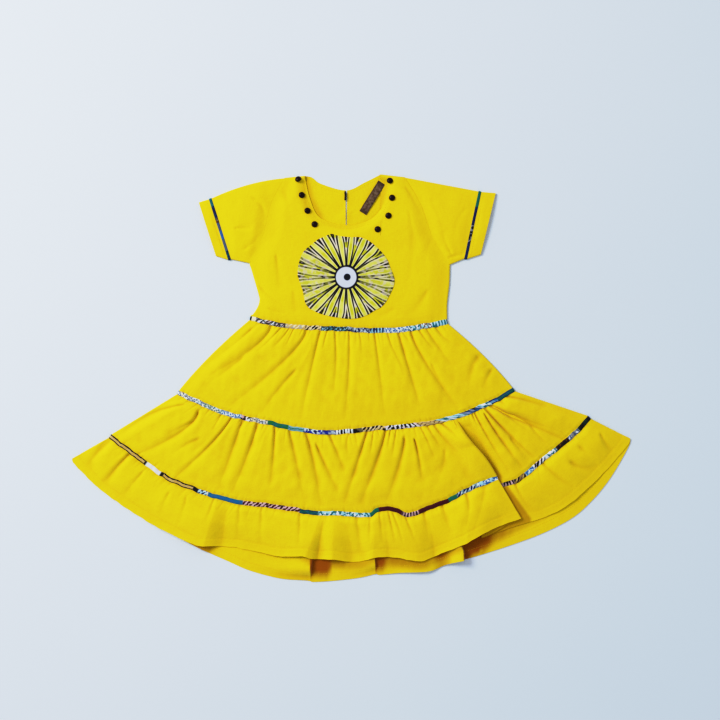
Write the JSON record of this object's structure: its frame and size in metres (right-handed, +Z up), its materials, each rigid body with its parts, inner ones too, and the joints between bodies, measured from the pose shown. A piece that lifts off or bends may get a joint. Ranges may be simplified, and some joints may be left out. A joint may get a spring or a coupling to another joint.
{
  "type": "girl's tiered cotton dress with wax print trims",
  "caption": "Child's short-sleeved yellow cotton dress with gathered tiers, wax print piping and a round sunburst patch, laid flat.",
  "frame": {"origin": "middle of the laid-out dress's outline, on the surface that it lies on", "axes": "+X to the right of the dress as it is looked at, across the skirt; +Y from the hem to the neck; +Z up from the surface, from the back panels to the front panels"},
  "size_m": [0.786, 0.5698, 0.0117],
  "materials": {
    "yellow_cotton": "matte plain-weave cotton, bright yellow",
    "wax_print": "matte wax-printed cotton in navy, teal, light blue, cream and black",
    "brown_label": "bare woven brown tape with a slight satin sheen",
    "dark_cord": "matte dark twisted cord",
    "dark_stud": "glossy near-black maroon dome"
  },
  "bodies": {
    "root": {"tier_1_front": "yellow_cotton", "tier_1_back": "yellow_cotton", "tier_2_front": "yellow_cotton", "tier_2_back": "yellow_cotton", "tier_3_front": "yellow_cotton", "tier_3_back": "yellow_cotton", "waist_piping_front": "wax_print", "waist_piping_back": "wax_print", "middle_piping_front": "wax_print", "middle_piping_back": "wax_print", "low_piping_front": "wax_print", "low_piping_back": "wax_print", "bodice_front": "yellow_cotton", "bodice_back": "yellow_cotton", "sleeve_left": "yellow_cotton", "sleeve_piping_left": "wax_print", "cuff_band_left": "yellow_cotton", "sleeve_right": "yellow_cotton", "sleeve_piping_right": "wax_print", "cuff_band_right": "yellow_cotton", "sunburst_applique": "wax_print", "neck_label": "brown_label", "back_loop": "dark_cord", "stud_1": "dark_stud", "stud_2": "dark_stud", "stud_3": "dark_stud", "stud_4": "dark_stud", "stud_5": "dark_stud", "stud_6": "dark_stud", "stud_7": "dark_stud", "stud_8": "dark_stud"}
  },
  "joints": []
}
